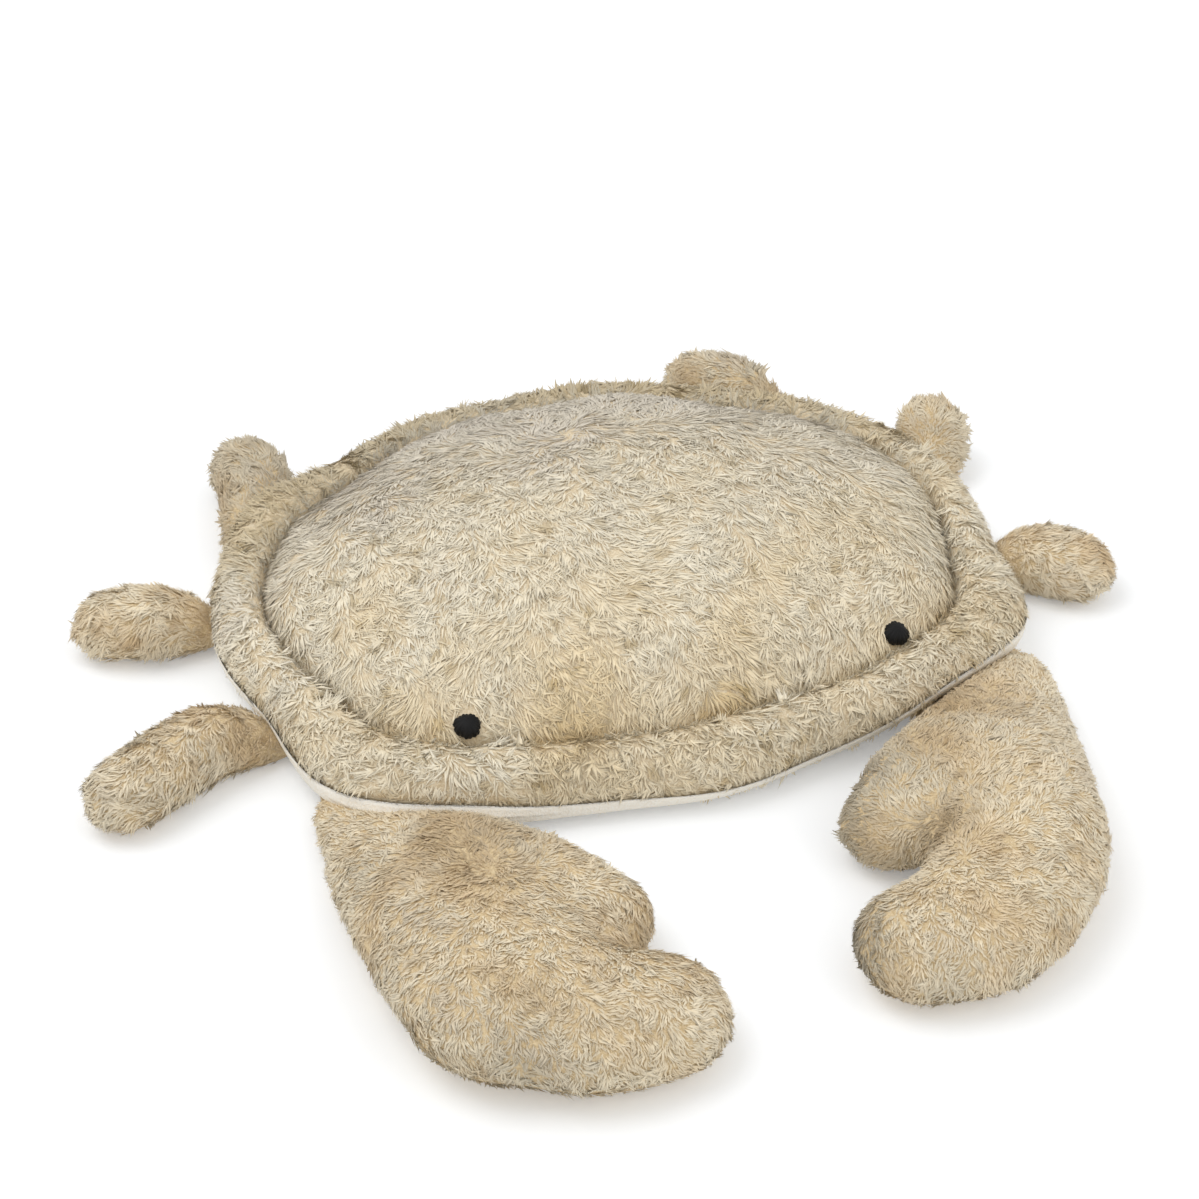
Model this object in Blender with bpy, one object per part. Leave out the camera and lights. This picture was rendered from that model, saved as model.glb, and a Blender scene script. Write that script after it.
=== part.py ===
"""A plush crab that lies flat: a stuffed carapace with a quilted dome and a padded rim, a smooth
belly panel, six stuffed legs, two stuffed claws and two embroidered eyes.

Metres, +Z up. The crab looks along -Y. The origin is on the floor, under the middle of the carapace.
Every angle round the carapace is in degrees from the middle of its face, and grows towards +X.
"""

import math

import bmesh
import bpy
from mathutils import Vector

# Carapace seen from above: how far its edge lies from the middle, and how wide the padded rim is
# inside that edge, every 20 degrees from the middle of the face round to the middle of the back
EDGE_REACH = (0.116, 0.116, 0.130, 0.151, 0.1455, 0.151, 0.149, 0.139, 0.1385, 0.135)
RIM_WIDTH = (0.025, 0.021, 0.0235, 0.028, 0.020, 0.020, 0.021, 0.021, 0.021, 0.021)

# Carapace heights above the floor
EDGE_HEIGHT = 0.010
QUILT_HEIGHT = 0.021
QUILT_FOLLOW = 0.2
RIM_PUFF = 0.0085
DOME_RISE = 0.036
DOME_ROUNDNESS = 2.1
DOME_SHOULDER = 0.66

# Belly panel: one piece of plush cloth, turned up to the edge seam
BELLY_THICKNESS = 0.003
BELLY_TURN = 0.026

# Gap between one sewn piece and the next
CLEARANCE = 0.0004

# How deep a stuffed limb is pressed flat where it lies on the floor
SETTLE = 0.0020

# Legs: stuffed fingers of cloth, flatter where they are sewn in under the edge
LEG_HALF_WIDTH = 0.0148
LEG_HALF_HEIGHT = 0.0130
LEG_ROOT_HALF_WIDTH = 0.0125
LEG_ROOT_HALF_HEIGHT = 0.0060
LEG_TUCK = 0.012
LEG_LIFT_SPREAD = 12

# Each leg: name, angle round the carapace, lift of the edge over it, heading, reach past the edge,
# bend along it in degrees, and height of its tip's underside
LEGS = (
    ("leg_left_front", -78, 0.003, -73, 0.076, 12, 0.000),
    ("leg_left_middle", -106, 0.003, -97, 0.051, -6, 0.000),
    ("leg_left_rear", -127, 0.013, 168, 0.056, 8, 0.000),
    ("leg_right_front", 82, 0.002, 54, 0.046, -6, 0.000),
    ("leg_right_middle", 107, 0.003, 152, 0.030, 6, 0.006),
    ("leg_right_rear", 136, 0.003, 208, 0.048, 20, 0.000),
)

# Claws as stuffed tubes that run into one another. Each station of a tube: how far it lies ahead of
# the shoulder and inwards of it, half width, half height. Both claws are one pattern: the left one lies
# shut, and the right one lies open.
CLAW_LEFT_ARM = (
    (-0.014, 0.003, 0.031, 0.009),
    (0.000, 0.003, 0.034, 0.012),
    (0.035, 0.004, 0.037, 0.0125),
    (0.070, 0.005, 0.038, 0.0185),
    (0.108, 0.008, 0.037, 0.020),
)
CLAW_LEFT_FINGER = (
    (0.110, 0.012, 0.034, 0.019),
    (0.124, 0.030, 0.032, 0.018),
    (0.128, 0.049, 0.027, 0.016),
)
CLAW_LEFT_THUMB = (
    (0.045, 0.012, 0.028, 0.0155),
    (0.062, 0.033, 0.024, 0.0165),
    (0.077, 0.048, 0.0200, 0.015),
)
CLAW_RIGHT_ARM = (
    (-0.014, 0.010, 0.026, 0.009),
    (0.000, 0.010, 0.029, 0.012),
    (0.030, 0.011, 0.031, 0.0125),
    (0.061, 0.015, 0.032, 0.0185),
    (0.102, 0.017, 0.032, 0.020),
)
CLAW_RIGHT_FINGER = (
    (0.108, 0.018, 0.031, 0.019),
    (0.136, 0.036, 0.029, 0.018),
    (0.143, 0.057, 0.026, 0.016),
)
CLAW_RIGHT_THUMB = (
    (0.050, 0.022, 0.028, 0.0155),
    (0.070, 0.045, 0.024, 0.0165),
    (0.081, 0.058, 0.0185, 0.015),
)
CLAW_LIFT_SPREAD = 20

# Each claw: name, side (-1 is the crab's -X side), angle of its shoulder round the carapace, lift of
# the edge over it, inward turn in degrees, and its tubes
CLAWS = (
    ("claw_left", -1, 52, 0.004, -1, (CLAW_LEFT_ARM, CLAW_LEFT_FINGER, CLAW_LEFT_THUMB)),
    ("claw_right", 1, 53, 0.012, 12, (CLAW_RIGHT_ARM, CLAW_RIGHT_FINGER, CLAW_RIGHT_THUMB)),
)

# Embroidered eyes: low domes of satin stitch, on the foot of the dome just inside the quilting seam
EYE_RADIUS = 0.0053
EYE_STAND = 0.0022
EYE_SUNK = 0.0022
EYE_ANGLE = 47
EYE_INSET = 0.002

# How finely the surfaces are drawn
ROUND_STEPS = 72
LIMB_SIDES = 20
LIMB_STEP = 0.012

COLOURS = {
    "carapace": (0.62, 0.52, 0.38),
    "belly_panel": (0.78, 0.72, 0.64),
    "leg": (0.58, 0.47, 0.32),
    "claw": (0.59, 0.48, 0.33),
    "eye": (0.008, 0.008, 0.009),
}


# Curves and directions

def heading(angle):
    """The plan direction at an angle."""
    turn = math.radians(angle - 90)
    return Vector((math.cos(turn), math.sin(turn)))


def spline(padded, at):
    """A value at a place along a list, where the list's two ends only steer the curve (Catmull-Rom)."""
    k = min(int(at), len(padded) - 4)
    t = at - k
    a, b, c, d = padded[k:k + 4]
    return (2 * b + (c - a) * t + (2 * a - 5 * b + 4 * c - d) * t * t + (3 * b - a - 3 * c + d) * t ** 3) / 2


def table_value(table, angle):
    """A value at an angle, from a table of one half of the carapace that the other half mirrors."""
    away = abs((angle + 180) % 360 - 180)
    return spline([table[1], *table, table[-2]], away * (len(table) - 1) / 180)


def bump(angle, middle, spread):
    """A smooth rise from 0 to 1 and back round an angle."""
    away = (angle - middle + 180) % 360 - 180
    return math.exp(-((away / spread) ** 2))


# The carapace as formulas

def edge_reach(angle):
    return table_value(EDGE_REACH, angle)


def rim_width(angle):
    return table_value(RIM_WIDTH, angle)


def plan_point(angle, inset):
    """The point that lies inset inwards from the edge, seen from above."""
    return heading(angle) * (edge_reach(angle) - inset)


def lift(angle):
    """Rise of the edge where the carapace lies on its limbs."""
    over_claws = sum(rise * bump(angle, side * at, CLAW_LIFT_SPREAD) for _, side, at, rise, *_ in CLAWS)
    over_legs = sum(rise * bump(angle, at, LEG_LIFT_SPREAD) for _, at, rise, *_ in LEGS)
    return over_claws + over_legs


def edge_height(angle):
    return EDGE_HEIGHT + lift(angle)


def quilt_height(angle):
    """Height of the quilting seam, which hardly follows the lifted edge."""
    return QUILT_HEIGHT + lift(angle) * QUILT_FOLLOW


def top_height(angle, inset):
    """The furry upper surface: a puffed rim, the quilting seam, then the dome."""
    edge, quilt, rim = edge_height(angle), quilt_height(angle), rim_width(angle)
    if inset <= rim:
        share = inset / rim
        puff = (4 * share * (1 - share)) ** 0.55
        return edge + (quilt - edge) * share ** 0.7 + RIM_PUFF * puff
    share = min(1.0, (inset - rim) / (edge_reach(angle) - rim))
    crown = (1 - (1 - share) ** DOME_ROUNDNESS) ** DOME_SHOULDER
    return quilt + (QUILT_HEIGHT + DOME_RISE - quilt) * crown


def belly_turn(angle):
    """Width of the belly's turned-up border, wider where the edge is lifted."""
    return BELLY_TURN * edge_height(angle) / EDGE_HEIGHT


def bottom_height(angle, inset):
    """The belly's outside: a quarter ellipse from the edge seam down to the floor, then flat."""
    share = min(1.0, inset / belly_turn(angle))
    return edge_height(angle) * (1 - math.sqrt(1 - (1 - share) ** 2))


def inner_height(angle, inset):
    """The belly's inside, which closes on the outside at the edge seam."""
    return bottom_height(angle, inset) + BELLY_THICKNESS * min(1.0, inset / (2 * BELLY_THICKNESS))


def cushion_floor(angle, inset):
    """The underside of the stuffed carapace, just above the belly panel."""
    return inner_height(angle, inset) + CLEARANCE


# How far in from the edge the rings lie that draw a surface

RIM_RINGS = (0.0, 0.07, 0.2, 0.4, 0.62, 0.84, 1.0)
DOME_RINGS = (0.03, 0.09, 0.18, 0.32, 0.5, 0.72)
TURN_RINGS = (0.0, 0.05, 0.16, 0.36, 0.64, 1.0)
FLAT_RINGS = (0.5,)


def top_insets(angle):
    rim = rim_width(angle)
    across = edge_reach(angle) - rim
    return [rim * share for share in RIM_RINGS] + [rim + across * share for share in DOME_RINGS]


def bottom_insets(angle):
    turn = belly_turn(angle)
    across = edge_reach(angle) - turn
    return [turn * share for share in TURN_RINGS] + [turn + across * share for share in FLAT_RINGS]


# Meshes

def add_object(name, bm, colour):
    """A named object from a bmesh, smooth shaded, in its own material."""
    mesh = bpy.data.meshes.new(name)
    bm.to_mesh(mesh)
    bm.free()
    mesh.shade_smooth()
    mesh.set_sharp_from_angle(angle=math.radians(50))
    material = bpy.data.materials.new(name)
    material.use_nodes = True
    shader = material.node_tree.nodes["Principled BSDF"]
    shader.inputs["Base Color"].default_value = (*COLOURS[colour], 1)
    shader.inputs["Roughness"].default_value = 0.95
    shader.inputs["Metallic"].default_value = 0.0
    mesh.materials.append(material)
    made = bpy.data.objects.new(name, mesh)
    bpy.context.scene.collection.objects.link(made)
    return made


def add_helper(name, bm, colour):
    """An object that only cuts another or becomes part of it."""
    made = add_object(name, bm, colour)
    made.hide_render = True
    made.display_type = "WIRE"
    return made


def add_boolean(made, operation, other):
    modifier = made.modifiers.new(f"{operation.lower()}_{other.name}", "BOOLEAN")
    modifier.operation = operation
    modifier.object = other


def add_strip(bm, outer, inner, upwards):
    """Triangles between two closed rings of as many points."""
    count = len(outer)
    for i in range(count):
        j = (i + 1) % count
        for face in ((outer[i], outer[j], inner[j]), (outer[i], inner[j], inner[i])):
            bm.faces.new(face if upwards else face[::-1])


def add_fan(bm, ring, middle, upwards):
    """Triangles from a closed ring to its middle point."""
    for i in range(len(ring)):
        face = (ring[i], ring[(i + 1) % len(ring)], middle)
        bm.faces.new(face if upwards else face[::-1])


def add_sheet(bm, rim, height, insets, upwards):
    """One surface of a shell, from the ring of vertices at its edge to its middle point."""
    angles = [360 * i / ROUND_STEPS for i in range(ROUND_STEPS)]
    previous = rim
    for k in range(1, len(insets(0.0))):
        ring = []
        for angle in angles:
            inset = insets(angle)[k]
            ring.append(bm.verts.new((*plan_point(angle, inset), height(angle, inset))))
        add_strip(bm, previous, ring, upwards)
        previous = ring
    middle = bm.verts.new((0.0, 0.0, height(0.0, edge_reach(0.0))))
    add_fan(bm, previous, middle, upwards)


def shell(upper, upper_insets, lower):
    """A closed body between two surfaces that meet at the carapace's edge."""
    bm = bmesh.new()
    rim = []
    for i in range(ROUND_STEPS):
        angle = 360 * i / ROUND_STEPS
        rim.append(bm.verts.new((*plan_point(angle, 0.0), lower(angle, 0.0))))
    add_sheet(bm, rim, upper, upper_insets, True)
    add_sheet(bm, rim, lower, bottom_insets, False)
    return bm


def grown(bm, by):
    """Moves every vertex outwards, for a cutter that leaves a gap."""
    bm.normal_update()
    moves = [(vert, vert.normal * by) for vert in bm.verts]
    for vert, move in moves:
        vert.co += move
    return bm


def tube(stations):
    """A stuffed tube with round ends. Each station is (x, y, half width, half height, underside),
    and its underside lies SETTLE deeper, to be pressed flat."""
    points = [Vector(station) for station in stations]
    padded = [2 * points[0] - points[1], *points, 2 * points[-1] - points[-2]]
    length = sum((b.xy - a.xy).length for a, b in zip(points, points[1:]))
    steps = max(4, round(length / LIMB_STEP))
    last = len(points) - 1
    bm = bmesh.new()

    def frame(at):
        forward = spline(padded, min(last, at + 0.01)).xy - spline(padded, max(0, at - 0.01)).xy
        return spline(padded, at), forward.normalized()

    def ring(at, beyond, shrink):
        (x, y, half_width, half_height, underside), forward = frame(at)
        side = Vector((forward.y, -forward.x))
        centre = Vector((x, y)) + forward * half_width * beyond
        middle = underside + half_height - SETTLE
        made = []
        for i in range(LIMB_SIDES):
            turn = math.tau * i / LIMB_SIDES
            place = centre + side * half_width * shrink * math.cos(turn)
            made.append(bm.verts.new((*place, middle + half_height * shrink * math.sin(turn))))
        return made

    def pole(at, beyond):
        (x, y, half_width, half_height, underside), forward = frame(at)
        place = Vector((x, y)) + forward * half_width * beyond
        return bm.verts.new((*place, underside + half_height - SETTLE))

    tilts = [math.radians(degrees) for degrees in (25, 48, 68)]
    rings = [ring(0, -math.sin(tilt), math.cos(tilt)) for tilt in tilts[::-1]]
    rings += [ring(last * k / steps, 0.0, 1.0) for k in range(steps + 1)]
    rings += [ring(last, math.sin(tilt), math.cos(tilt)) for tilt in tilts]
    for near, far in zip(rings, rings[1:]):
        add_strip(bm, near, far, True)
    add_fan(bm, rings[0], pole(0, -1.0), False)
    add_fan(bm, rings[-1], pole(last, 1.0), True)
    bmesh.ops.recalc_face_normals(bm, faces=bm.faces)
    return bm


# The crab's pieces

def room_under_edge(angle):
    """Half of the height that a limb's root has under the edge, with what is pressed flat."""
    return (edge_height(angle) + SETTLE) / 2


def leg(angle, towards, reach, bend, rise):
    """A leg that starts under the rim and reaches past the edge, bending as it goes."""
    near, far = heading(towards - bend), heading(towards + bend)
    start = plan_point(angle, 0.0)
    root = start - near * LEG_TUCK
    knee = start + near * reach * 0.3
    foot = knee + far * max(LEG_HALF_WIDTH / 4, reach * 0.7 - LEG_HALF_WIDTH)
    wide, high = LEG_HALF_WIDTH, LEG_HALF_HEIGHT
    return tube((
        (*root, LEG_ROOT_HALF_WIDTH, LEG_ROOT_HALF_HEIGHT, 0.0),
        (*start, (LEG_ROOT_HALF_WIDTH + wide) / 2, min(high, room_under_edge(angle)), 0.0),
        (*knee, wide, high, rise / 3),
        (*foot, wide, high, rise),
    ))


def claw_tube(side, angle, turn, stations):
    """One tube of a claw, in its place. What lies under the carapace is flattened to its room."""
    shoulder = plan_point(side * angle, 0.0)
    ahead, inward = heading(-side * turn), heading(-side * (turn + 90))
    room = room_under_edge(side * angle)
    return tube([
        (*(shoulder + ahead * far + inward * inside), half_width, min(high, room) if far <= 0 else high, 0.0)
        for far, inside, half_width, high in stations
    ])


def surface_frame(angle, inset):
    """A point of the furry surface, and the direction out of it."""
    step = 0.002

    def surface(aside, inwards):
        at = angle + math.degrees(aside / edge_reach(angle))
        return Vector((*plan_point(at, inset + inwards), top_height(at, inset + inwards)))

    across = surface(step, 0.0) - surface(-step, 0.0)
    inwards = surface(0.0, step) - surface(0.0, -step)
    return surface(0.0, 0.0), across.cross(inwards).normalized()


def eye(side):
    """A low round dome that stands on the furry surface."""
    place, outwards = surface_frame(side * EYE_ANGLE, rim_width(EYE_ANGLE) + EYE_INSET)
    bm = bmesh.new()
    bmesh.ops.create_uvsphere(bm, u_segments=20, v_segments=10, radius=EYE_RADIUS)
    for vert in bm.verts:
        vert.co.z *= (EYE_STAND + EYE_SUNK) / EYE_RADIUS
    turn = Vector((0.0, 0.0, 1.0)).rotation_difference(outwards).to_matrix()
    bmesh.ops.rotate(bm, matrix=turn, verts=bm.verts)
    bmesh.ops.translate(bm, vec=place - outwards * EYE_SUNK, verts=bm.verts)
    return bm


def floor_block():
    """Everything below the floor, under the whole crab."""
    bm = bmesh.new()
    size = 4 * max(EDGE_REACH)
    bmesh.ops.create_cube(bm, size=size)
    bmesh.ops.translate(bm, vec=(0.0, 0.0, -size / 2), verts=bm.verts)
    return bm


def main():
    for old in list(bpy.data.objects):
        bpy.data.objects.remove(old)

    add_object("carapace", shell(top_height, top_insets, cushion_floor), "carapace")
    add_object("belly_panel", shell(inner_height, bottom_insets, bottom_height), "belly_panel")
    whole = shell(top_height, top_insets, bottom_height)
    body = add_helper("body_with_clearance", grown(whole, CLEARANCE), "carapace")
    floor = add_helper("floor", floor_block(), "carapace")

    for name, angle, _, towards, reach, bend, rise in LEGS:
        made = add_object(name, leg(angle, towards, reach, bend, rise), "leg")
        add_boolean(made, "DIFFERENCE", body)
        add_boolean(made, "DIFFERENCE", floor)

    for name, side, angle, _, turn, (arm, *others) in CLAWS:
        made = add_object(name, claw_tube(side, angle, turn, arm), "claw")
        for part, stations in zip(("finger", "thumb"), others):
            other = claw_tube(side, angle, turn, stations)
            add_boolean(made, "UNION", add_helper(f"{name}_{part}", other, "claw"))
        add_boolean(made, "DIFFERENCE", body)
        add_boolean(made, "DIFFERENCE", floor)

    for name, side in (("eye_left", -1), ("eye_right", 1)):
        add_boolean(add_object(name, eye(side), "eye"), "DIFFERENCE", body)


main()
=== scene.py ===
"""A plush crab that lies flat on a white floor, dressed over its CAD frame.

Metres, +Z up. The crab looks along -Y. Every angle round the carapace is in degrees from the middle
of its face, and grows towards +X.
"""

import bpy
import numpy as np
from mathutils import Matrix


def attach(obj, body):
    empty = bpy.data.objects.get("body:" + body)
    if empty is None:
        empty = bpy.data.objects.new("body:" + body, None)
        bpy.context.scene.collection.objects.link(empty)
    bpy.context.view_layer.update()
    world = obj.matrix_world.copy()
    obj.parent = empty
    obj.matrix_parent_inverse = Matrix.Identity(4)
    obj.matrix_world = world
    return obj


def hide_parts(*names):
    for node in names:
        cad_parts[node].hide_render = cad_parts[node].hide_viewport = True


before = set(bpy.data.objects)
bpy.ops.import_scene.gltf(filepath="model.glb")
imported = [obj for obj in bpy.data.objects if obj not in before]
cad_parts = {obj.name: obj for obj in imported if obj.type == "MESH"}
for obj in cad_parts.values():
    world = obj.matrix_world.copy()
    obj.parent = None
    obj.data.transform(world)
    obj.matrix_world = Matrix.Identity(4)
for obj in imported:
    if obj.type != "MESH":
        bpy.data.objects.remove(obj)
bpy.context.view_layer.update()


# The carapace's cloth: one stuffed cushion of long curly plush. A single line of stitching quilts it
# into a dome and a padded rim, and the fur grows out of this cloth. Its shape is the frame's, held in
# by the room that the fur takes up.

EDGE_REACH = np.array((0.116, 0.116, 0.130, 0.151, 0.1455, 0.151, 0.149, 0.139, 0.1385, 0.135))
RIM_WIDTH = np.array((0.025, 0.021, 0.0235, 0.028, 0.020, 0.020, 0.021, 0.021, 0.021, 0.021))
EDGE_HEIGHT = 0.010
QUILT_HEIGHT = 0.021
QUILT_FOLLOW = 0.2
RIM_PUFF = 0.0085
RIM_STEEPNESS = 0.7
RIM_ROUNDNESS = 0.55
DOME_RISE = 0.036
DOME_ROUNDNESS = 2.1
DOME_SHOULDER = 0.66
BELLY_THICKNESS = 0.003
BELLY_TURN = 0.026
CLEARANCE = 0.0004
# Where the edge is lifted by a limb under it: angle, rise, and half width in degrees
LIFTS = (
    (-52, 0.004, 20), (53, 0.012, 20),
    (-78, 0.003, 12), (-106, 0.003, 12), (-127, 0.013, 12),
    (82, 0.002, 12), (107, 0.003, 12), (136, 0.003, 12),
)
CARAPACE_PILE = 0.0016
# How far the cloth is drawn in at its edge, and the least that is left of the stuffing
CLOTH_EDGE = 0.0012
LEAST_STUFFING = 0.0003
PADDING_LUMP = 0.0010
PADDING_LUMP_SIZE = 0.05
PADDING_LUMP_FADE = 0.03
SEAM_PINCH = 0.0035
SEAM_PINCH_WIDTH = 0.0019
# A dip in the rim next to each eye: depth, angle and half width, distance from the seam and half width
EYE_DIP = 0.0020
EYE_DIP_ANGLE = 47
EYE_DIP_SPREAD = 3.5
EYE_DIP_FROM_SEAM = 0.004
EYE_DIP_WIDTH = 0.005
ROUND_STEPS = 180
RIM_RINGS = 14
DOME_RINGS = 22
DOME_RING_CROWDING = 1.6
WANDER_WAVES = 12
# A sum of waves seldom passes this many times its root mean square
WAVE_PEAK = 1.6


def angle_of(place):
    """The angle at which a place lies, seen from above."""
    return np.degrees(np.arctan2(place[:, 1], place[:, 0])) + 90


def heading(angle):
    """The plan direction at an angle, as x and y."""
    turn = np.radians(np.asarray(angle, float) - 90)
    return np.stack((np.cos(turn), np.sin(turn)), -1)


def spline(values, at):
    """Values at places along a list, where the list's two ends only steer the curve (Catmull-Rom)."""
    values = np.asarray(values, float)
    k = np.clip(np.floor(at).astype(int), 0, len(values) - 4)
    t = np.asarray(at, float) - k
    if values.ndim > 1:
        t = t[..., None]
    a, b, c, d = (values[k + i] for i in range(4))
    return (2 * b + (c - a) * t + (2 * a - 5 * b + 4 * c - d) * t ** 2 + (3 * b - a - 3 * c + d) * t ** 3) / 2


def round_value(table, angle):
    """A value at an angle, from a table of one half of the carapace that the other half mirrors."""
    away = np.abs((np.asarray(angle, float) + 180) % 360 - 180)
    steered = np.concatenate((table[1:2], table, table[-2:-1]))
    return spline(steered, away * (len(table) - 1) / 180)


def edge_reach(angle):
    """How far the edge seam lies from the middle, seen from above."""
    return round_value(EDGE_REACH, angle)


def rim_width(angle):
    """How far inside the edge the quilting seam lies."""
    return round_value(RIM_WIDTH, angle)


def edge_lift(angle):
    """Rise of the edge over the limbs: a sum of smooth bumps round their angles."""
    away = [((angle - middle + 180) % 360 - 180) / spread for middle, _, spread in LIFTS]
    return sum(rise * np.exp(-(at ** 2)) for at, (_, rise, _) in zip(away, LIFTS))


def top_height(angle, inset):
    """The furry upper surface. From the edge to the quilting seam it is a slope with a puff on it, and
    inside the seam it is a crown: one less a power of what is left of the way to the middle."""
    rim = rim_width(angle)
    edge = EDGE_HEIGHT + edge_lift(angle)
    quilt = QUILT_HEIGHT + edge_lift(angle) * QUILT_FOLLOW
    on_rim = np.clip(inset / rim, 0, 1)
    puff = RIM_PUFF * (4 * on_rim * (1 - on_rim)) ** RIM_ROUNDNESS
    slope = edge + (quilt - edge) * on_rim ** RIM_STEEPNESS + puff
    on_dome = np.clip((inset - rim) / (edge_reach(angle) - rim), 0, 1)
    crown = (1 - (1 - on_dome) ** DOME_ROUNDNESS) ** DOME_SHOULDER
    return np.where(inset <= rim, slope, quilt + (QUILT_HEIGHT + DOME_RISE - quilt) * crown)


def bottom_height(angle, inset):
    """The belly's outside: a quarter ellipse from the edge seam down to the floor, then flat."""
    edge = EDGE_HEIGHT + edge_lift(angle)
    share = np.clip(inset * EDGE_HEIGHT / (BELLY_TURN * edge), 0, 1)
    return edge * (1 - np.sqrt(1 - (1 - share) ** 2))


def cushion_floor(angle, inset):
    """The underside of the stuffed carapace, just above the belly cloth."""
    thickness = BELLY_THICKNESS * np.clip(inset / (2 * BELLY_THICKNESS), 0, 1)
    return bottom_height(angle, inset) + thickness + CLEARANCE


def wander(points, size, seed):
    """Smooth values of about -1 to 1 that change over a size: a sum of sine waves in random directions."""
    dice = np.random.default_rng(seed)
    ways = dice.normal(size=(3, WANDER_WAVES))
    ways *= 2 * np.pi / size * dice.uniform(0.5, 1.5, WANDER_WAVES) / np.linalg.norm(ways, axis=0)
    phase = points @ ways + dice.uniform(0, 2 * np.pi, WANDER_WAVES)
    return np.sin(phase).sum(-1) / (WANDER_WAVES / 2) ** 0.5 / WAVE_PEAK


def unit(vectors):
    """The same vectors at length one."""
    return vectors / np.maximum(np.linalg.norm(vectors, axis=-1, keepdims=True), 1e-12)


def build_mesh(name, points, triangles):
    """A smooth shaded object of these triangles, linked into the scene."""
    mesh = bpy.data.meshes.new(name)
    mesh.vertices.add(len(points))
    mesh.vertices.foreach_set("co", np.asarray(points, np.float32).ravel())
    mesh.loops.add(triangles.size)
    mesh.loops.foreach_set("vertex_index", np.asarray(triangles, np.int32).ravel())
    mesh.polygons.add(len(triangles))
    mesh.polygons.foreach_set("loop_start", np.arange(0, triangles.size, 3, dtype=np.int32))
    mesh.polygons.foreach_set("use_smooth", np.ones(len(triangles), bool))
    mesh.update(calc_edges=True)
    made = bpy.data.objects.new(name, mesh)
    bpy.context.scene.collection.objects.link(made)
    return made


def ring_sheet(rings, sides, first, middle, upwards):
    """Triangles of a sheet of closed rings, listed from the outermost in, that ends in a middle point."""
    i = np.arange(sides)
    j = (i + 1) % sides
    strips = []
    for k in range(rings - 1):
        outer, inner = first + k * sides, first + (k + 1) * sides
        strips.append(np.stack((outer + i, outer + j, inner + j), 1))
        strips.append(np.stack((outer + i, inner + j, inner + i), 1))
    last = first + (rings - 1) * sides
    strips.append(np.stack((last + i, last + j, np.full(sides, middle)), 1))
    triangles = np.concatenate(strips)
    return triangles if upwards else triangles[:, ::-1]


angles = np.arange(ROUND_STEPS) * 360 / ROUND_STEPS


def carapace_insets(angle):
    """Rings from the edge in: close together at the edge and at the quilting seam."""
    on_rim = (1 - np.cos(np.linspace(0, np.pi, RIM_RINGS))) / 2
    on_dome = np.linspace(0, 1, DOME_RINGS + 1)[1:-1] ** DOME_RING_CROWDING
    rim, across = rim_width(angle), edge_reach(angle) - rim_width(angle)
    return np.concatenate((rim * on_rim[:, None], rim + across * on_dome[:, None]))


def plan_points(angle, inset):
    """Points that lie inset inwards from the edge, seen from above."""
    return heading(angle) * (edge_reach(angle) - inset)[..., None]


def cloth_top(angle, inset):
    """The cloth under the fur: the furry surface less the pile, with soft lumps of padding, and never
    below the cushion's own floor."""
    plan = plan_points(angle, inset)
    level = np.concatenate((plan, np.zeros((*plan.shape[:-1], 1))), -1)
    lumps = PADDING_LUMP * wander(level, PADDING_LUMP_SIZE, 11) * np.clip(inset / PADDING_LUMP_FADE, 0, 1)
    off_seam = inset - rim_width(angle)
    pinch = SEAM_PINCH * np.exp(-((off_seam / SEAM_PINCH_WIDTH) ** 2))
    away = np.abs((angle + 180) % 360 - 180) - EYE_DIP_ANGLE
    by_eyes = np.exp(-((away / EYE_DIP_SPREAD) ** 2))
    pinch = pinch + EYE_DIP * by_eyes * np.exp(-(((off_seam + EYE_DIP_FROM_SEAM) / EYE_DIP_WIDTH) ** 2))
    height = top_height(angle, inset) - CARAPACE_PILE + lumps - pinch
    return np.maximum(height, cushion_floor(angle, inset) + LEAST_STUFFING)


insets = carapace_insets(angles)
around = np.broadcast_to(angles, insets.shape)
drawn_in = insets + CLOTH_EDGE * (1 - insets / edge_reach(around))
upper = np.concatenate((plan_points(around, drawn_in), cloth_top(around, drawn_in)[..., None]), -1)
lower = np.concatenate((plan_points(around, drawn_in), cushion_floor(around, drawn_in)[..., None]), -1)
crown = np.array([[0, 0, float(cloth_top(np.array(0.0), edge_reach(0.0)))]])
sole = np.array([[0, 0, float(cushion_floor(np.array(0.0), edge_reach(0.0)))]])
count = len(insets) * ROUND_STEPS
cloth_points = np.concatenate((upper.reshape(-1, 3), crown, lower[1:].reshape(-1, 3), sole))
cloth_upper = ring_sheet(len(insets), ROUND_STEPS, 0, count, True)
cloth_lower = ring_sheet(len(insets) - 1, ROUND_STEPS, count + 1, len(cloth_points) - 1, False)
i = np.arange(ROUND_STEPS)
j = (i + 1) % ROUND_STEPS
edge_strip = np.concatenate((
    np.stack((i, count + 1 + j, j), 1), np.stack((i, count + 1 + i, count + 1 + j), 1),
))
carapace = build_mesh("carapace_cloth", cloth_points, np.concatenate((cloth_upper, edge_strip, cloth_lower)))


CLOTH_SPECULAR = 0.25
SHEEN_ROUGHNESS = 0.5
# Where along a fibre the root colour begins to turn to the tip colour, and where it has turned
TURN_START, TURN_END = 0.05, 0.75
STREAK_DARK, STREAK_LIGHT = 0.98, 1.05
SHEEN_TINT = (255, 244, 224)
PILE_ROUGHNESS = 0.7
PILE_SHEEN = 0.22
PILE_BUMP = 0.2
BACKING_ROUGHNESS = 0.95
BACKING_BUMP = 0.4
BUMP_DEPTH = 0.0004
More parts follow.
